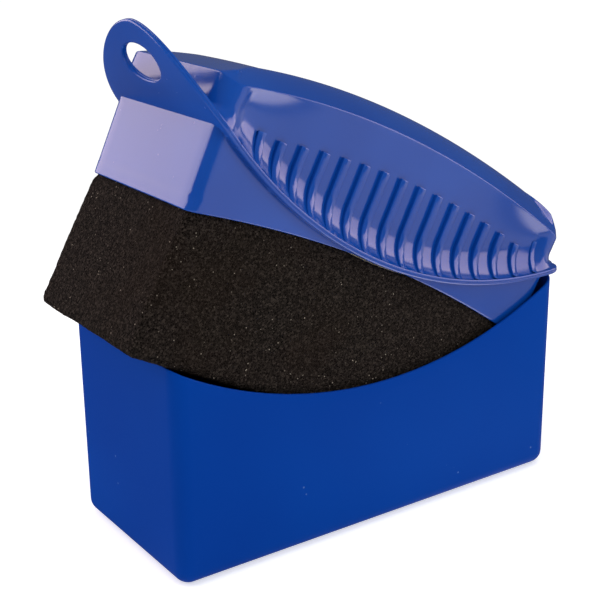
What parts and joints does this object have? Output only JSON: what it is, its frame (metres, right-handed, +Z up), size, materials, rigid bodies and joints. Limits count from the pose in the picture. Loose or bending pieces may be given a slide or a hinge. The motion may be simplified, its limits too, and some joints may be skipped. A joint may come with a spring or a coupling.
{
  "type": "foam applicator with storage case",
  "caption": "Hand-held foam applicator: arched ribbed grip with a hanging tab and a foam block, propped on its open-topped storage case.",
  "frame": {"origin": "centre of the case's underside", "axes": "+Z up, +X along the case away from the hanging tab, +Y across the case"},
  "size_m": [0.1794, 0.0716, 0.1813],
  "materials": {
    "case_plastic": "satin",
    "handle_plastic": "gloss",
    "foam": "matte",
    "glue": "satin"
  },
  "bodies": {
    "case": {"case": "case_plastic"},
    "applicator": {"handle": "handle_plastic", "foam_block": "foam", "foam_glue": "glue"}
  },
  "joints": [
    {"name": "applicator_tip", "type": "hinge", "parent": "case", "child": "applicator", "pos_m": [0.0836, 0, 0.0758], "axis": [0, 1, 0], "range_deg": [-27.3, 62.7], "deforming": ["foam_block"]}
  ]
}
